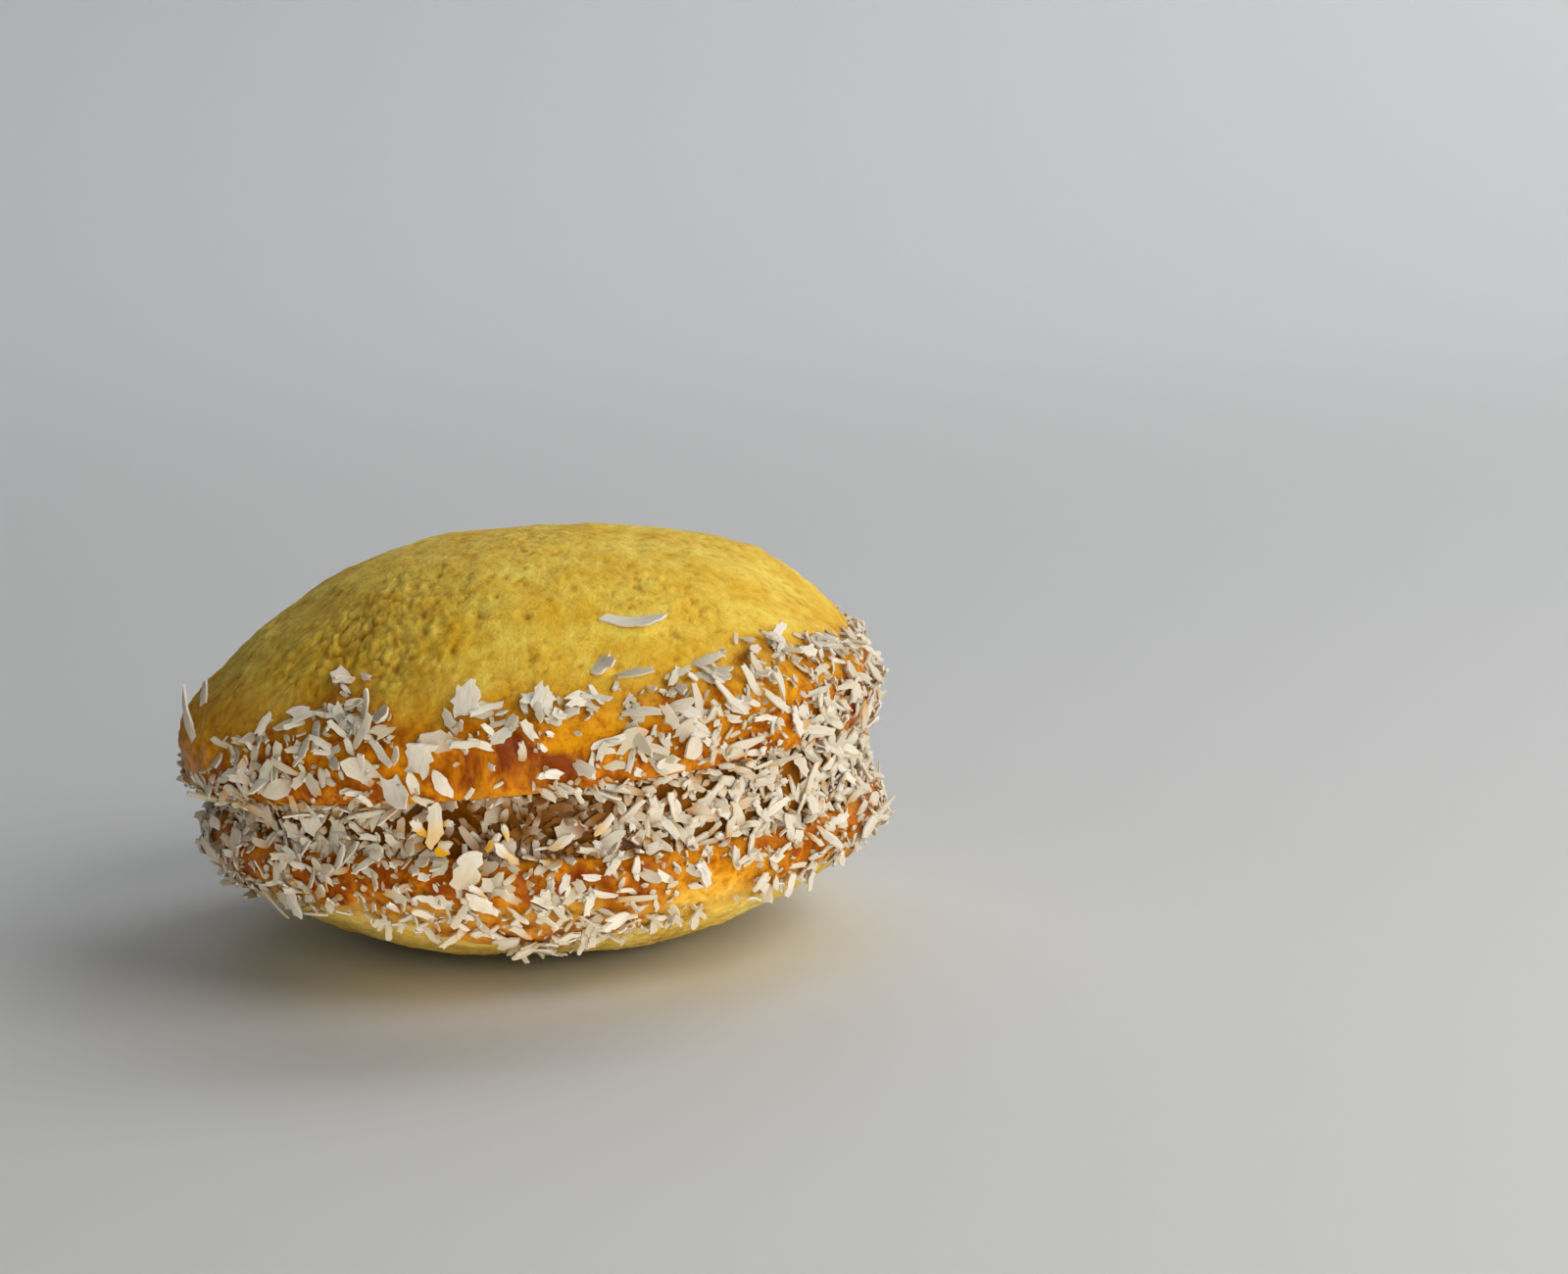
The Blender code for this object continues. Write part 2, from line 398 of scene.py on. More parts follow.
class AlfajorCrust(bpy.types.PropertyGroup):
    cells: whole("Grid cells", "Cells along one side of the grid that is wrapped over a biscuit", 285, 20)
    lump_height: distance("Lump height", "Height of the soft lumps of the baked dough", 0.19)
    grain_height: distance("Grain height", "Height of the sandy grain of the crust", 0.09)
    pit_depth: distance("Pit depth", "Depth of the small pits in the crust", 0.28)
    crack_depth: distance("Crack depth", "Depth of the fine cracks in the crust", 0.22)
    film_thickness: distance("Film thickness", "Thickness of the caramel smeared over the side", 0.30)


class AlfajorCaramel(bpy.types.PropertyGroup):
    around: whole("Cells round", "Cells round the side of the caramel", 1100, 20)
    upward: whole("Cells up", "Cells from the bottom to the top of its side", 34, 4)
    swell: distance("Swell", "How far the pressed caramel bulges out", 0.6)
    recess: distance("Recess", "How far the caramel stays back where it wasn't pressed out", 0.7)
    overlap: distance("Overlap", "How far the caramel reaches into each biscuit, so no gap shows", 0.5)


class AlfajorCoconut(bpy.types.PropertyGroup):
    seed: bpy.props.IntProperty(name="Seed", description="Seed of the scatter", default=5)
    long_shreds: crowd("Long shreds", 35.0)
    short_shreds: crowd("Short shreds", 60.0)
    broad_flakes: crowd("Broad flakes", 8.0)
    crumbs: crowd("Crumbs", 104.0)
    variants: whole("Variants", "Different shapes of each kind of flake", 14, 1)


class AlfajorStage(bpy.types.PropertyGroup):
    lens: bpy.props.FloatProperty(
        name="Lens", description="Focal length of the camera", default=84.0, subtype="DISTANCE_CAMERA")
    distance: bpy.props.FloatProperty(
        name="Distance", description="From the camera to the middle of the alfajor",
        default=0.320, subtype="DISTANCE", unit="LENGTH")
    elevation: bpy.props.FloatProperty(
        name="Elevation", description="How steeply the camera looks down",
        default=math.radians(12.0), subtype="ANGLE", unit="ROTATION")
    roll: bpy.props.FloatProperty(
        name="Roll", description="How far the camera leans clockwise",
        default=math.radians(2.5), subtype="ANGLE", unit="ROTATION")


class AlfajorSettings(bpy.types.PropertyGroup):
    crust: bpy.props.PointerProperty(type=AlfajorCrust)
    caramel: bpy.props.PointerProperty(type=AlfajorCaramel)
    coconut: bpy.props.PointerProperty(type=AlfajorCoconut)
    stage: bpy.props.PointerProperty(type=AlfajorStage)


# Biscuits

def clamp(value, low=0.0, high=1.0):
    return min(max(value, low), high)


def crust_relief(points, settings, seed):
    """Height of the baked surface at each point, and how deep in a pit or crack it is, 0 to 1."""
    noise.seed_set(3)  # otherwise noise_vector takes its seed from the time of day
    heights, depths = [], []
    offset = Vector((seed, -seed, 2 * seed))
    crumbly = Vector(CRUMBLY_SPOT)
    for row in points:
        p = Vector(row) / MM
        lumps = noise.noise(p / 5.5 + offset) + 0.6 * noise.noise(p / 2.2 - offset)
        grain = noise.noise(p / 1.1 + offset) + 0.7 * noise.noise(p / 0.55 - offset)
        rough = 0.5 + 0.6 * noise.noise(p / 9.0 + offset * 3)
        rough = max(rough, 1.7 * math.exp(-((p - crumbly).length / CRUMBLY_REACH) ** 2))
        rough = clamp(rough, 0.15, 1.5)

        # Round pits, in some cells only
        near, centres = noise.voronoi((p + noise.noise_vector(p / 0.9) * 0.35) / 1.5 + offset)
        kind = noise.cell(centres[0] * 7.31)
        size = 0.17 + 0.10 * noise.cell(centres[0] * 3.17)
        pit = math.exp(-(near[0] / size) ** 2) if kind > 0.25 - 0.55 * rough else 0.0

        # Crevices between crumbs, and short strokes
        crumb = noise.voronoi((p + noise.noise_vector(p / 0.8) * 0.5) / 1.25 - offset)[0]
        crevice = math.exp(-((crumb[1] - crumb[0]) / 0.17) ** 2) * clamp(rough - 0.3, 0.0, 0.75)
        stroke = math.exp(-(noise.noise(p / 1.5 + offset * 7) / 0.09) ** 2)
        stroke *= clamp(noise.noise(p / 0.95 - offset * 4) * 5.0 - 0.5) * min(0.35 + rough, 1.0)

        # Hairline cracks
        wander = noise.noise(p / 1.9 - offset) + 0.35 * noise.noise(p / 0.8 + offset)
        broken = clamp(noise.noise(p / 4.0 + offset * 5) * 1.3 + rough - 0.85)
        crack = broken * math.exp(-(wander / 0.07) ** 2)

        raised = settings.lump_height * lumps + settings.grain_height * grain * (0.4 + rough)
        sunk = settings.pit_depth * pit + settings.crack_depth * (crack + 0.8 * crevice + 0.5 * stroke)
        heights.append(raised - sunk)
        depths.append(min(1.0, pit + 0.8 * crack + 0.6 * crevice + 0.7 * stroke))
    return np.array(heights), np.array(depths)


def caramel_film(node, points, azimuth, height):
    """How much caramel lies on a side, 0 to 1: all round near the filling, in patches above."""
    seed = 31.0 if node == "top_biscuit" else 47.0
    wide = sampled(points / (6.0 * MM) + seed, noise.noise)
    small = sampled(points / (1.6 * MM) - seed, noise.noise)
    reach = 3.4 + 3.2 * wide + 1.4 * small
    film = 1.0 - smoothstep(-0.6, 0.6, height / MM - reach)
    for owner, *patch, change in FILM_PATCHES:
        if owner == node:
            inside = in_patch(azimuth, height, *patch) * (1.0 + 0.9 * small)
            film += change * smoothstep(0.15, 0.6, inside)
    return np.clip(film, 0.0, 1.0)


class ALFAJOR_OT_biscuits(bpy.types.Operator):
    """Make the two baked biscuits, with their lumps, pits, cracks and smears of caramel"""
    bl_idname = "alfajor.biscuits"
    bl_label = "Bake biscuits"

    def execute(self, context):
        settings = context.scene.alfajor.crust
        for node in BISCUITS:
            bake_biscuit(node, settings)
        return {"FINISHED"}


def bake_biscuit(node, settings):
    """Make one biscuit as a fine mesh on its CAD solid, with the masks that its material reads."""
    place = inner_face(node)
    shape = disc_grid(settings.cells)
    heart = (4.5 if node == "top_biscuit" else 3.5) * MM
    wrap_disc(shape, smooth_surface(node), place, heart, inner_margin=4.0 * MM)
    mesh = mesh_of(shape, node + "_crust")

    points = rows(mesh.vertices, "co")
    normals = rows(mesh.vertex_normals, "vector")
    turn = np.array(place.to_3x3())
    height = (points @ turn - np.array(place.translation) @ turn)[:, 2]
    azimuth = np.arctan2(points[:, 1], points[:, 0]) % math.tau
    dents, depth = crust_relief(points, settings, seed=4.0 if node == "top_biscuit" else 9.0)
    film = caramel_film(node, points, azimuth, height)
    ripple = sampled(points / (1.3 * MM), noise.noise)
    film_level = settings.film_thickness * (0.75 + 0.6 * ripple)
    outside = smoothstep(0.0, 1.2 * MM, height)
    raised = (dents * (1.0 - 0.8 * film) + film_level * film) * outside

    # The spot that it rests on stays where it is, and nothing beside it hangs lower
    resting = smoothstep(0.05 * MM, 0.5 * MM, points[:, 2])
    raised = np.where(points[:, 2] < 0.6 * MM, np.minimum(raised, 0.0), raised) * resting
    points += normals * raised[:, None]
    mesh.vertices.foreach_set("co", points.astype(np.float32).ravel())
    set_attribute(mesh, "height", height / MM)
    # How deep in a pit or crack each point is, for the painted shade in the hollows
    set_attribute(mesh, "pit_shade", depth * (1.0 - film))
    set_attribute(mesh, "film", film * outside)
    set_attribute(mesh, "coat", coating(node, azimuth, height) * smoothstep(-0.2 * MM, 0.4 * MM, height))
    set_attribute(mesh, "stain_and_shade", 0.3 * film)
    mesh.shade_smooth()
    mesh.update()
    mesh.materials.append(crust_material(node))
    finished(node + "_crust", mesh, "crust", node)


def crust_material(node):
    """Baked cornflour dough: matte and sandy, yellow with yolk, browner where caramel soaks in; painted shade
    darkens its pits, its cracks and the crust under the coconut, and painted light makes the lower biscuit
    paler.
    """
    material = new_material("baked_cornflour_crust_" + node)
    tree = material.node_tree
    place = add(tree, "ShaderNodeTexCoord").outputs["Object"]
    height, film, coat = (read(tree, name) for name in ("height", "film", "coat"))

    # Blotches 4 mm apart, where the dough browned more or less; the lower biscuit is painted paler than the
    # top one, as painted light on its shaded underside
    deep, pale = ("#dcad2a", "#efd868") if node == "top_biscuit" else ("#ecc044", "#f9e488")
    blotches = speckle(tree, place, 4 * MM, 5.0, 0.66)
    yellow = blend(tree, ramp(tree, blotches, 0.3, 0.68), deep, pale)

    # Freckles of egg yolk and sugar, 1 mm apart; the pits and cracks are painted darker, as painted shade in
    # the hollows
    freckles = speckle(tree, place, 1.1 * MM, 3.0, 0.7)
    freckled = blend(tree, ramp(tree, freckles, 0.5, 0.72, 0.0, 0.55), yellow, "#c89010")
    pit_shade = maths(tree, "MULTIPLY", read(tree, "pit_shade"), 0.7)
    dough = blend(tree, pit_shade, freckled, "#a26a08")

    # The side is soaked and toasted orange; the edge of that band wanders by 2 mm
    drawn = add(tree, "ShaderNodeMapping", {"Vector": place, "Scale": (1.0, 1.0, 0.45)}).outputs[0]
    wander = speckle(tree, drawn, 2.6 * MM, 4.0, 0.6)
    ragged = maths(tree, "MULTIPLY_ADD", wander, -6.0, height)
    palest, darkest = (8.6, 0.4) if node == "top_biscuit" else (3.4, -1.0)
    soaked = ramp(tree, ragged, palest, darkest, 0.0, 0.92, interpolation_type="SMOOTHSTEP")
    toasted = blend(tree, soaked, dough, "#e09c0c")

    # Smeared caramel, amber where it is thin
    caramel = blend(tree, ramp(tree, wander, 0.42, 0.62), "#ec9e10", "#843c02")
    smeared = blend(tree, film, toasted, caramel)

    # Darker where the coconut sticks: partly syrup soaked in, partly painted shade under the flakes; and
    # darker in mottles 0.9 mm apart, where syrup soaked in
    mottles = speckle(tree, place, 0.9 * MM, 3.0, 0.65)
    mottled = maths(tree, "MULTIPLY", ramp(tree, mottles, 0.48, 0.64, 0.0, 0.6), soaked)
    syrup_and_shade = maths(tree, "MULTIPLY_ADD", coat, 0.5, mottled, clamp=True)
    colour = blend(tree, syrup_and_shade, smeared, "#9c4a06")

    # Sandy grain 0.35 mm across, too fine for the mesh
    grain = speckle(tree, place, 0.35 * MM, 4.0, 0.6)
    normal = relief(tree, grain, ramp(tree, film, 0.0, 1.0, 0.8, 0.25), 0.18 * MM)
    shade(tree, colour, ramp(tree, film, 0.0, 1.0, 0.8, 0.32), normal, {
        "Specular IOR Level": 0.18, "Sheen Weight": 0.04, "Sheen Roughness": 0.5,
        "Subsurface Weight": 0.10, "Subsurface Radius": (1.0, 0.6, 0.15), "Subsurface Scale": 1.0 * MM})
    return material


# Caramel

def spread_side(shape, settings):
    """Spread a unit cylinder's side over the gap between the biscuits, out to the caramel's edge."""
    floor = inner_face("bottom_biscuit").translation.z
    top = inner_face("top_biscuit")
    tilt = -top.to_3x3().col[2]
    surface = smooth_surface(FILLING)
    for vertex in shape.verts:
        direction = Vector((vertex.co.x, vertex.co.y, 0.0)).normalized()
        share = vertex.co.z + 0.5
        across = direction.x * FILLING_EDGE - top.translation.x
        ceiling = top.translation.z - (tilt.x * across + tilt.y * direction.y * FILLING_EDGE) / tilt.z
        start = Vector((0.0, 0.0, (floor + ceiling) / 2))
        radius = surface.ray_cast(start, direction)[0].xy.length
        z = floor - settings.overlap + share * (ceiling - floor + 2 * settings.overlap)
        spot = direction * radius
        lump = noise.noise(Vector((spot.x, spot.y, z * 1.5)) / (4.0 * MM))
        fine = noise.noise(Vector((spot.x, spot.y, z * 1.3)) / (1.4 * MM) + Vector((7, 3, 1)))
        belly = math.sin(math.pi * share) ** 0.6
        radius += settings.swell * (0.15 + 0.75 * lump + 0.18 * fine) * belly - 0.6 * MM
        azimuth = math.atan2(direction.y, direction.x)
        turn = turned_by(azimuth, RECESS_AZIMUTH) / math.radians(RECESS_SPREAD)
        radius -= settings.recess * math.exp(-turn ** 4) * belly
        vertex.co = (direction.x * radius, direction.y * radius, z)


class ALFAJOR_OT_caramel(bpy.types.Operator):
    """Make the glossy milk caramel that is pressed out between the biscuits"""
    bl_idname = "alfajor.caramel"
    bl_label = "Spread caramel"

    def execute(self, context):
        settings = context.scene.alfajor.caramel
        shape = bmesh.new()
        bmesh.ops.create_cone(shape, cap_ends=False, segments=settings.around, radius1=1.0, radius2=1.0,
                              depth=1.0)
        upright = [edge for edge in shape.edges if abs(edge.verts[0].co.z - edge.verts[1].co.z) > 0.5]
        bmesh.ops.subdivide_edges(shape, edges=upright, cuts=settings.upward - 1)
        spread_side(shape, settings)
        mesh = mesh_of(shape, "milk_caramel")
        points = rows(mesh.vertices, "co")
        azimuth = np.arctan2(points[:, 1], points[:, 0]) % math.tau
        middle = np.zeros(len(azimuth))
        ring = np.stack([np.cos(azimuth), np.sin(azimuth)], 1) * 8.0
        clumps = sampled(np.c_[ring, points[:, 2] / (3 * MM)], noise.noise)
        cover = np.clip(1.35 + 0.9 * clumps, 0.62, 1.55)
        set_attribute(mesh, "coat", cover * thin_patches(FILLING, azimuth, middle))
        # Flakes over the caramel are stained, and browner still in its recess, where the extra brown is
        # painted shade of the recess
        recess = in_patch(azimuth, middle, RECESS_AZIMUTH, 0.0, 10.0, 9.0)
        set_attribute(mesh, "stain_and_shade", 0.35 + 0.65 * recess)
        mesh.shade_smooth()
        mesh.materials.append(caramel_material())
        finished("caramel_filling", mesh, "caramel", FILLING)
        return {"FINISHED"}


def caramel_material():
    """Milk caramel, boiled thick: glossy and brown, a little clear at its edges."""
    material = new_material("boiled_milk_caramel")
    tree = material.node_tree
    place = add(tree, "ShaderNodeTexCoord").outputs["Object"]
    swirl = speckle(tree, place, 3.0 * MM, 3.0, distortion=0.6)
    ripple = speckle(tree, place, 0.8 * MM, 2.0)
    shade(tree, blend(tree, swirl, "#a66a06", "#482602"), 0.3, relief(tree, ripple, 0.35, 0.15 * MM), {
        "Specular IOR Level": 0.22, "Subsurface Weight": 0.1, "Subsurface Radius": (1.0, 0.5, 0.1),
        "Subsurface Scale": 0.8 * MM})
    return material


# Coconut

KINDS = {
    # kind: (length range, width range, thickness in mm, cells along, cells across, tilt in
    # degrees, lift in mm)
    "coconut_long_shreds": ((1.6, 3.1), (0.5, 0.9), 0.26, 5, 2, 27, 0.9),
    "coconut_short_shreds": ((0.9, 1.7), (0.45, 0.85), 0.24, 3, 2, 33, 0.75),
    "coconut_broad_flakes": ((1.6, 2.6), (1.1, 1.7), 0.26, 4, 3, 22, 0.9),
    "coconut_crumbs": ((0.35, 0.9), (0.25, 0.5), 0.22, 2, 1, 50, 0.4),
}


def torn_flake(name, length, width, thickness, along, across, seed):
    """One chip of dried coconut, lengths in mm: a thick strip with torn ends and uneven edges,
    slightly curled, that sticks by its end at x < 0."""
    shape = bmesh.new()
    bmesh.ops.create_grid(shape, x_segments=along, y_segments=across, size=1.0)
    bmesh.ops.solidify(shape, geom=shape.faces, thickness=1.0)
    slant = 0.5 * noise.cell(Vector((seed, 1.5, 0.0)))
    curl = 0.06 * noise.cell(Vector((seed, 2.5, 0.0))) * length
    twist = 0.5 * noise.cell(Vector((seed, 3.5, 0.0)))
    bend = 0.05 * noise.cell(Vector((seed, 4.5, 0.0))) * length
    layer = min(vertex.co.z for vertex in shape.verts) + 0.5
    for vertex in shape.verts:
        u, v = vertex.co.x, vertex.co.y
        w = math.copysign(0.5, vertex.co.z - layer)
        side = Vector((u * 2.3 + seed * 3.7, math.copysign(1.9, v), seed * 1.3))
        half_width = width / 2 * (1.0 - 0.35 * abs(u) ** 3) * (1.0 + 0.6 * noise.noise(side))
        torn = 0.38 * noise.noise(Vector((seed * 5.3, v * 2.2, u))) * min(length, 2 * width, 1.9)
        x = u * length / 2 + abs(u) * (slant * v * width * 0.5 + torn) + 0.18 * length
        y = v * half_width + bend * u * u
        lump = noise.noise(Vector((u * 1.7, v * 1.4 + w, seed * 2.9)))
        z = curl * (u * u - 0.4) + twist * u * v * half_width * 0.5
        z += w * thickness * (1.0 - 0.35 * v * v) * (1.0 + 0.5 * lump)
        vertex.co = Vector((x, y, z)) * MM
    bmesh.ops.recalc_face_normals(shape, faces=shape.faces)
    mesh = bpy.data.meshes.new(name)
    shape.to_mesh(mesh)
    shape.free()
    mesh.shade_smooth()
    mesh.set_sharp_from_angle(angle=math.radians(58))
    points = rows(mesh.vertices, "co") / MM
    fibre = mesh.attributes.new("fibre", "FLOAT_VECTOR", "POINT")
    fibre.data.foreach_set("vector", (points + [seed * 11.0, seed * 5.0, 0.0]).astype(np.float32).ravel())
    set_attribute(mesh, "root", smoothstep(0.5, -0.5, points[:, 0] / length))
    return mesh


def flake_collection(kind, variants):
    """A collection with the different shapes of one kind of flake."""
    lengths, widths, thickness, along, across, _, _ = KINDS[kind]
    collection = bpy.data.collections.new(kind + "_shapes")
    for index in range(variants):
        mix = (index + 0.5) / variants
        other = (index * 5 % variants + 0.5) / variants
        length = lengths[0] + (lengths[1] - lengths[0]) * mix
        width = widths[0] + (widths[1] - widths[0]) * other
        name = f"{kind}_{index:02d}"
        mesh = torn_flake(name, length, width, thickness, along, across, seed=index + 1.37)
        collection.objects.link(bpy.data.objects.new(name, mesh))
    return collection


def chance(tree, low, high, seed):
    """A random number from low to high for each flake."""
    return add(tree, "FunctionNodeRandomValue", {2: low, 3: high, "Seed": seed},
               data_type="FLOAT").outputs[1]


def scatter_tree():
    """Geometry nodes that stick flakes on a surface, as densely as its coat attribute says."""
    tree = bpy.data.node_groups.new("Coconut scatter", "GeometryNodeTree")
    sockets = (("Surface", "Geometry"), ("Flakes", "Collection"), ("Density", "Float"), ("Seed", "Int"),
               ("Tilt", "Float"), ("Lift", "Float"), ("Smallest", "Float"), ("Largest", "Float"),
               ("Darkest", "Float"), ("Palest", "Float"), ("Finish", "Material"))
    for label, kind in sockets:
        tree.interface.new_socket(label, in_out="INPUT", socket_type="NodeSocket" + kind)
    tree.interface.new_socket("Flakes on surface", in_out="OUTPUT", socket_type="NodeSocketGeometry")
    inputs = add(tree, "NodeGroupInput").outputs
    tilt = inputs["Tilt"]

    # Spots on the surface, with no flakes on the caps inside
    coat, side = (add(tree, "GeometryNodeInputNamedAttribute", {"Name": name},
                      data_type="FLOAT").outputs["Attribute"] for name in ("coat", "side"))
    density = maths(tree, "MULTIPLY", maths(tree, "MULTIPLY", coat, side), inputs["Density"])
    points = add(tree, "GeometryNodeDistributePointsOnFaces", {
        "Mesh": inputs["Surface"], "Density": density, "Seed": inputs["Seed"]})

    # Any heading, tilted either way, with the free end raised more often than sunk
    spin = chance(tree, -math.pi, math.pi, inputs["Seed"])
    rock = chance(tree, maths(tree, "MULTIPLY", tilt, -1.0), tilt, 11)
    pitch = chance(tree, maths(tree, "MULTIPLY", tilt, -1.5), maths(tree, "MULTIPLY", tilt, 0.25), 12)
    angles = add(tree, "ShaderNodeCombineXYZ", {"X": rock, "Y": pitch, "Z": spin})
    turn = add(tree, "FunctionNodeEulerToRotation", {"Euler": angles.outputs[0]})
    facing = add(tree, "FunctionNodeRotateRotation", {"Rotation": points.outputs["Rotation"],
                                                      "Rotate By": turn.outputs[0]}, rotation_space="LOCAL")
    shapes = add(tree, "GeometryNodeCollectionInfo", {"Collection": inputs["Flakes"],
                                                      "Separate Children": True, "Reset Children": True})
    placed = add(tree, "GeometryNodeInstanceOnPoints", {
        "Points": points.outputs["Points"], "Instance": shapes.outputs[0], "Pick Instance": True,
        "Rotation": facing.outputs[0], "Scale": chance(tree, inputs["Smallest"], inputs["Largest"], 13)})
    offset = add(tree, "ShaderNodeCombineXYZ", {"Z": chance(tree, 0.0, inputs["Lift"], 14)})
    raised = add(tree, "GeometryNodeTranslateInstances", {"Instances": placed.outputs[0],
                                                          "Translation": offset.outputs[0]})
    tone = chance(tree, inputs["Darkest"], inputs["Palest"], 15)
    toned = add(tree, "GeometryNodeStoreNamedAttribute", {
        "Geometry": raised.outputs[0], "Name": "tone", "Value": tone}, data_type="FLOAT", domain="INSTANCE")
    real = add(tree, "GeometryNodeRealizeInstances", {"Geometry": toned.outputs[0]})
    finish = add(tree, "GeometryNodeSetMaterial", {"Geometry": real.outputs[0], "Material": inputs["Finish"]})
    add(tree, "NodeGroupOutput", {0: finish.outputs[0]})
    return tree


def coated_surface():
    """One mesh of everything that coconut sticks to, with its coat attribute. Its side attribute is
    0 on the flat caps inside, whose edges are far longer, and 1 on the rest."""
    shape = bmesh.new()
    for name in ("bottom_biscuit_crust", "caramel_filling", "top_biscuit_crust"):
        shape.from_mesh(bpy.data.objects[name].data)
    side = [max(edge.calc_length() for edge in face.edges) < LONGEST_CELL for face in shape.faces]
    mesh = bpy.data.meshes.new("coated_surface")
    shape.to_mesh(mesh)
    shape.free()
    set_attribute(mesh, "side", side, "FACE")
    return link("coated_surface", mesh)


def coconut_material():
    """Dried coconut, shredded: matte off-white fibre, stained brown where it sits in caramel, with painted
    warm bounce light at the ends it sticks by and painted shade in the caramel's recess.
    """
    material = new_material("dried_shredded_coconut")
    tree = material.node_tree
    tone, root, stain_and_shade, yolk = (read(tree, name) for name in ("tone", "root", "stain_and_shade", "yolk"))

    # Fibres run along each chip, 0.2 mm apart
    fibre = add(tree, "ShaderNodeMapping", {"Vector": read(tree, "fibre", "Vector"),
                                            "Scale": (0.9, 5.0, 5.0)}).outputs[0]
    streaks = speckle(tree, fibre, 1.0, 3.0)
    white = blend(tree, tone, "#c4b69c", "#e2dbce")
    streaky = blend(tree, ramp(tree, streaks, 0.45, 0.75, 0.0, 0.5), white, "#c9b899")

    # Browner from the end that a chip sticks by: partly caramel soaked in, partly painted warm bounce light
    # from the crust. Browner still over the caramel, where it is stain, and most in the caramel's recess,
    # where the extra brown is painted shade
    soaked = maths(tree, "MULTIPLY_ADD", root, 0.7, maths(tree, "MULTIPLY", stain_and_shade, 1.2))
    uneven = maths(tree, "MULTIPLY_ADD", tone, -1.15, soaked)
    browned = blend(tree, stain_and_shade, "#dc9c30", "#8a5808")
    stained = blend(tree, ramp(tree, uneven, 0.05, 0.85, 0.0, 0.95), streaky, browned)
    yolky = maths(tree, "MULTIPLY", yolk, maths(tree, "MULTIPLY", root, 2.2, clamp=True))
    colour = blend(tree, yolky, stained, "#eab414")
    shade(tree, colour, 0.7, relief(tree, streaks, 0.5, 0.08 * MM), {
        "Specular IOR Level": 0.3, "Subsurface Weight": 0.25, "Subsurface Radius": (1.0, 0.8, 0.55),
        "Subsurface Scale": 0.4 * MM})
    return material


class ALFAJOR_OT_coconut(bpy.types.Operator):
    """Scatter coconut shreds, flakes and crumbs over the sticky side"""
    bl_idname = "alfajor.coconut"
    bl_label = "Coat with coconut"

    def execute(self, context):
        settings = context.scene.alfajor.coconut
        tree = scatter_tree()
        material = coconut_material()
        surface = coated_surface()
        counts = {"coconut_long_shreds": settings.long_shreds, "coconut_short_shreds": settings.short_shreds,
                  "coconut_broad_flakes": settings.broad_flakes, "coconut_crumbs": settings.crumbs}
        for number, (kind, per_cm2) in enumerate(counts.items()):
            tilt, lift = KINDS[kind][5:]
            scatter = surface.modifiers.new("Scatter", "NODES")
            scatter.node_group = tree
            values = {"Flakes": flake_collection(kind, settings.variants), "Density": per_cm2 * 1e4,
                      "Seed": settings.seed + 10 * number, "Tilt": math.radians(tilt), "Lift": lift * MM,
                      "Smallest": 0.75, "Largest": 1.15, "Finish": material,
                      "Darkest": 0.0 if kind == "coconut_crumbs" else 0.25,
                      "Palest": 0.6 if kind == "coconut_crumbs" else 1.0}
            for socket in tree.interface.items_tree:
                if socket.in_out == "INPUT" and socket.name in values:
                    scatter[socket.identifier] = values[socket.name]
            depsgraph = context.evaluated_depsgraph_get()
            mesh = bpy.data.meshes.new_from_object(surface.evaluated_get(depsgraph))
            mesh.name = kind
            for name in ("height", "pit_shade", "film", "coat", "side"):
                mesh.attributes.remove(mesh.attributes[name])
            surface.modifiers.remove(scatter)
            finished(kind, mesh, "coconut")
        return {"FINISHED"}


def lay_flake(shape, surface, start, towards, sizes, seed, yolk=0.0):
    """Lay one flake where a ray meets the surface; sizes are its length, width, heading, pitch and
    lift. Heading 0 points along world X as seen on the surface."""
    length, width, heading, pitch, lift = sizes
    spot, normal, _, _ = surface.ray_cast(start, towards)
    along = Vector((1.0, 0.0, 0.0)) - normal * normal.x
    turn = Matrix((along.normalized(), normal.cross(along).normalized(), normal)).transposed()
    turn = turn @ Euler((0.0, -math.radians(pitch), math.radians(heading))).to_matrix()
    flake = torn_flake("laid_flake", length, width, 0.3, 7, 4, seed)
    flake.transform(Matrix.Translation(spot + normal * lift * MM) @ turn.to_4x4())
    first = len(shape.verts)
    shape.from_mesh(flake)
    shape.verts.ensure_lookup_table()
    layer = shape.verts.layers.float["yolk"]
    for vertex in shape.verts[first:]:
        vertex[layer] = yolk


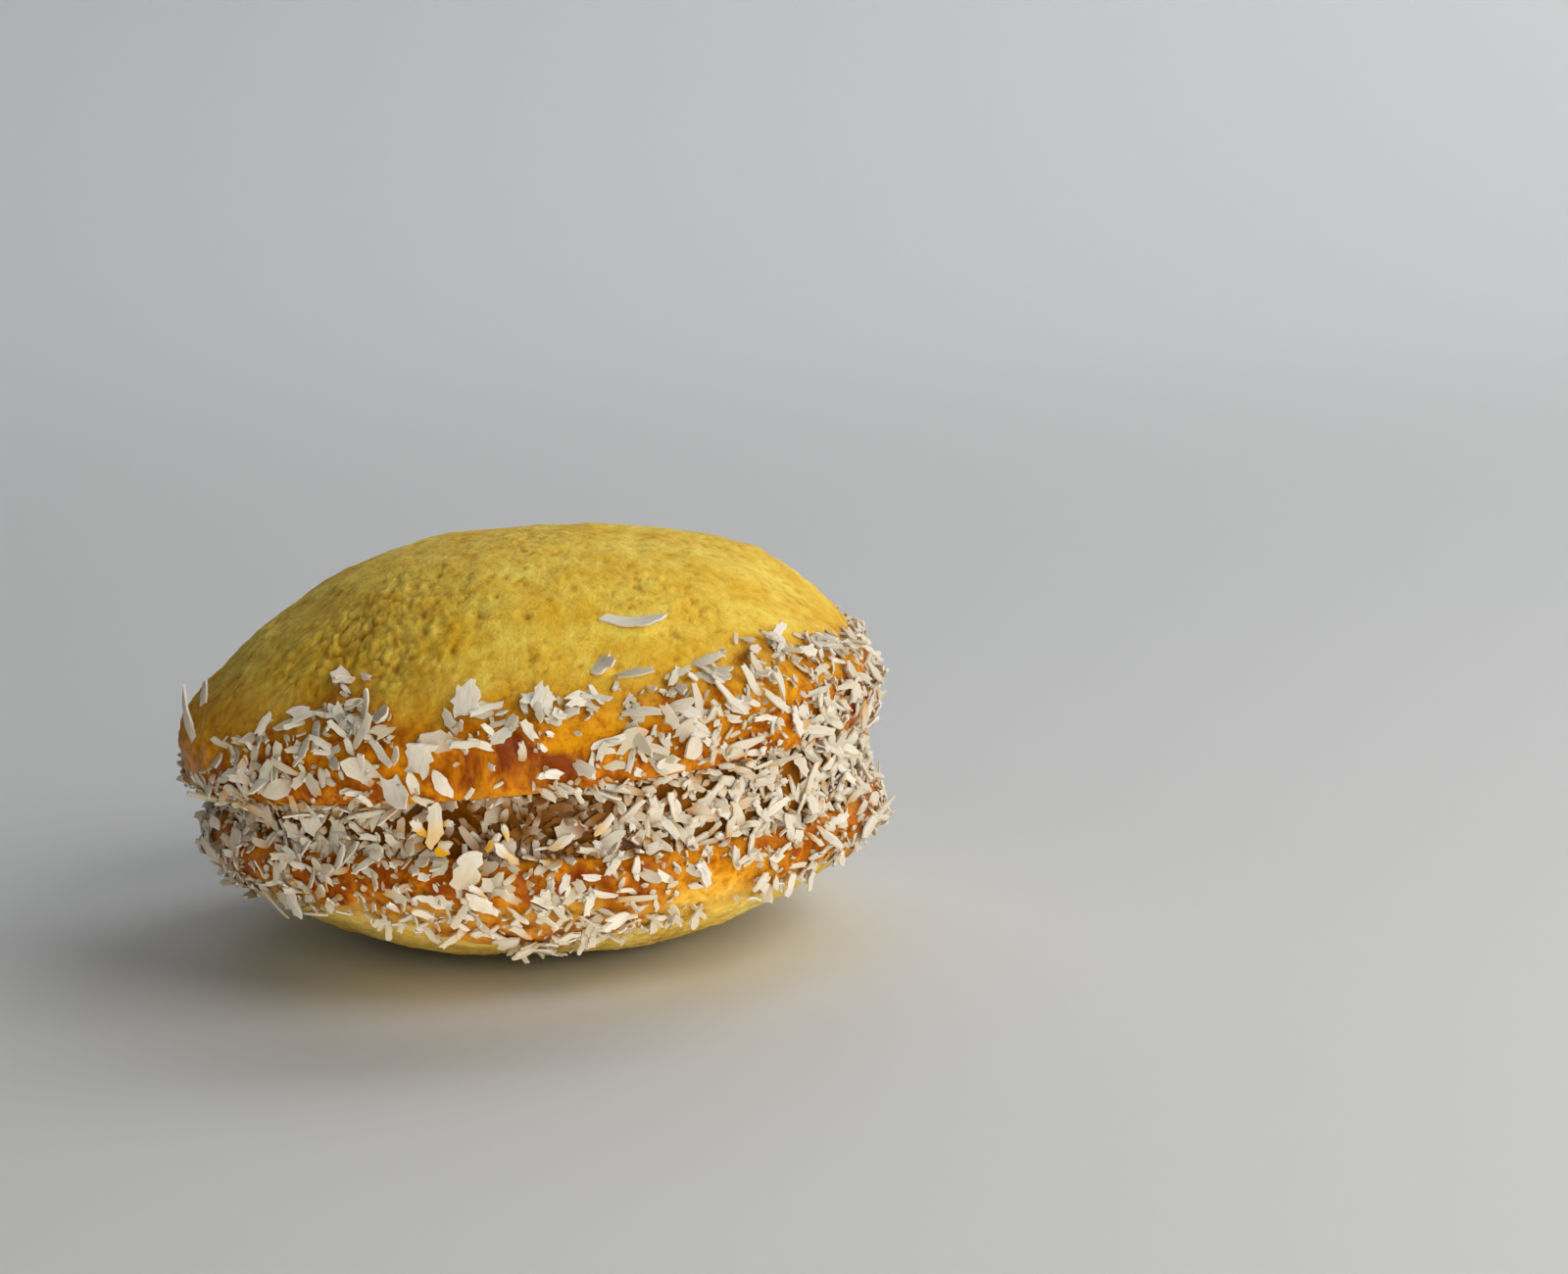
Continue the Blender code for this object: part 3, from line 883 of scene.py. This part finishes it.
class ALFAJOR_OT_laid_flakes(bpy.types.Operator):
    """Lay the flakes that stand out: strays on the dome, big ones on bare crust, yolky ones"""
    bl_idname = "alfajor.laid_flakes"
    bl_label = "Lay single flakes"

    def execute(self, context):
        surface = BVHTree.FromObject(bpy.data.objects["coated_surface"], context.evaluated_depsgraph_get())
        shape = bmesh.new()
        shape.verts.layers.float.new("yolk")
        for number, (x, y, *sizes) in enumerate(DOME_FLAKES):
            lay_flake(shape, surface, Vector((x, y, 60.0)) * MM, Vector((0.0, 0.0, -1.0)), (*sizes, 0.2),
                      seed=number + 40.0)
        for number, (azimuth, height, *sizes, yolk) in enumerate(SIDE_FLAKES):
            angle = math.radians(azimuth)
            out = Vector((math.cos(angle), math.sin(angle), 0.0))
            lay_flake(shape, surface, out * 60 * MM + Vector((0.0, 0.0, height * MM)), -out, sizes,
                      seed=number + 60.0, yolk=yolk)
        mesh = bpy.data.meshes.new("coconut_laid_flakes")
        shape.to_mesh(mesh)
        shape.free()
        set_attribute(mesh, "tone", np.full(len(mesh.vertices), 0.95))
        mesh.materials.append(bpy.data.materials["dried_shredded_coconut"])
        bpy.data.objects.remove(bpy.data.objects["coated_surface"])
        finished("coconut_laid_flakes", mesh, "coconut")
        return {"FINISHED"}


# Stage

def floor_material():
    """Matte painted studio sweep: pale grey, with no pattern."""
    material = bpy.data.materials.new("matte_paper_sweep")
    material.use_nodes = True
    shader = material.node_tree.nodes["Principled BSDF"]
    shader.inputs["Base Color"].default_value = linear("#d3d4d2")
    shader.inputs["Roughness"].default_value = 0.6
    shader.inputs["Specular IOR Level"].default_value = 0.3
    return material


def sweep_floor():
    """A round floor that curves up far away on all sides, so that no horizon shows."""
    flat, top, height = 0.5, 1.3, 0.8
    shape = bmesh.new()
    outline = [(0.0, 0.0), (0.05, 0.0), (0.3, 0.0)]
    outline += [(flat + (top - flat) * math.sin(t), height * (1 - math.cos(t)))
                for t in np.linspace(0.0, math.pi / 2, 25)]
    verts = [shape.verts.new((r, 0.0, z)) for r, z in outline]
    edges = [shape.edges.new(pair) for pair in zip(verts[:-1], verts[1:])]
    bmesh.ops.spin(shape, geom=verts + edges, cent=(0, 0, 0), axis=(0, 0, 1), angle=math.tau, steps=96)
    bmesh.ops.remove_doubles(shape, verts=shape.verts, dist=1e-5)
    bmesh.ops.recalc_face_normals(shape, faces=shape.faces)
    mesh = bpy.data.meshes.new("sweep_floor")
    shape.to_mesh(mesh)
    shape.free()
    mesh.shade_smooth()
    mesh.materials.append(floor_material())
    link("sweep_floor", mesh)


def soft_light(name, power, size, azimuth, elevation, distance, colour, target=(0.0, 0.0, 0.015)):
    """A square softbox that faces a target; azimuth 0 is in front of it, 90 is at the right."""
    data = bpy.data.lights.new(name, "AREA")
    data.shape = "SQUARE"
    data.size = size
    data.energy = power
    data.color = linear(colour)[:3]
    lamp = bpy.data.objects.new(name, data)
    a, e = math.radians(azimuth), math.radians(elevation)
    back = Vector((math.sin(a) * math.cos(e), -math.cos(a) * math.cos(e), math.sin(e)))
    lamp.location = Vector(target) + back * distance
    lamp.rotation_euler = back.to_track_quat("Z", "Y").to_euler()
    lamp.visible_camera = False
    bpy.context.scene.collection.objects.link(lamp)


def set_camera(settings):
    """A camera in front of the alfajor that looks down on it and aims up and right of it."""
    heart = Vector((0.9 * MM, 0.0, 14.2 * MM))
    across, above = 21.2 * MM, 11.1 * MM
    e = settings.elevation
    back = Vector((0.0, -math.cos(e), math.sin(e)))
    level = Vector((0.0, math.sin(e), math.cos(e)))
    up = level * math.cos(settings.roll) + Vector((math.sin(settings.roll), 0.0, 0.0))
    eye = heart + back * settings.distance
    aim = heart + up.cross(back) * across + up * above
    out = (eye - aim).normalized()
    side = up.cross(out).normalized()
    turn = Matrix((side, out.cross(side), out)).transposed().to_4x4()
    camera = link("camera", bpy.data.cameras.new("camera"))
    camera.data.lens = settings.lens
    camera.data.sensor_width = 36.0
    camera.data.clip_start = 0.01
    camera.matrix_world = Matrix.Translation(eye) @ turn
    return camera


class ALFAJOR_OT_stage(bpy.types.Operator):
    """Set the floor, the lights and the camera"""
    bl_idname = "alfajor.stage"
    bl_label = "Set stage"

    def execute(self, context):
        settings = context.scene.alfajor.stage
        context.scene.view_settings.view_transform = "Standard"
        context.scene.view_settings.look = "Medium High Contrast"
        sweep_floor()
        soft_light("key_softbox", 0.98, 0.34, 62, 30, 0.42, "#fffdfa")
        soft_light("front_fill", 1.66, 0.40, 12, 8, 0.65, "#fffffc")
        soft_light("back_fill", 1.0, 0.6, 185, 45, 0.90, "#f6f8ff")
        soft_light("wall_wash", 7.2, 0.8, 60, 55, 1.0, "#fbfbff", target=(0.22, 1.05, 0.0))
        soft_light("table_bounce", 0.029, 0.12, 0, -90, 0.0995, "#fff6e4", target=(0.01, -0.085, 0.1))

        world = bpy.data.worlds.new("studio")
        world.use_nodes = True
        background = world.node_tree.nodes["Background"].inputs
        background["Color"].default_value = linear("#c9cdd0")
        background["Strength"].default_value = 0.08
        context.scene.world = world
        context.scene.camera = set_camera(settings)
        return {"FINISHED"}


class ALFAJOR_PT_pieces(bpy.types.Panel):
    """Buttons and sizes for each piece of the alfajor"""
    bl_label = "Alfajor"
    bl_idname = "ALFAJOR_PT_pieces"
    bl_space_type = "VIEW_3D"
    bl_region_type = "UI"
    bl_category = "Alfajor"

    def draw(self, context):
        settings = context.scene.alfajor
        for operator, group in STEPS:
            box = self.layout.box()
            box.operator(operator.bl_idname)
            if group:
                values = getattr(settings, group)
                for name in values.bl_rna.properties.keys():
                    if name not in {"rna_type", "name"}:
                        box.prop(values, name)


STEPS = (
    (ALFAJOR_OT_biscuits, "crust"),
    (ALFAJOR_OT_caramel, "caramel"),
    (ALFAJOR_OT_coconut, "coconut"),
    (ALFAJOR_OT_laid_flakes, None),
    (ALFAJOR_OT_stage, "stage"),
)
CLASSES = (AlfajorCrust, AlfajorCaramel, AlfajorCoconut, AlfajorStage, AlfajorSettings,
           *(operator for operator, _ in STEPS), ALFAJOR_PT_pieces)


def register():
    for cls in CLASSES:
        bpy.utils.register_class(cls)
    bpy.types.Scene.alfajor = bpy.props.PointerProperty(type=AlfajorSettings)


def unregister():
    del bpy.types.Scene.alfajor
    for cls in reversed(CLASSES):
        bpy.utils.unregister_class(cls)


def main():
    register()
    for operator, _ in STEPS:
        group, name = operator.bl_idname.split(".")
        getattr(getattr(bpy.ops, group), name)()


if __name__ == "__main__":
    main()
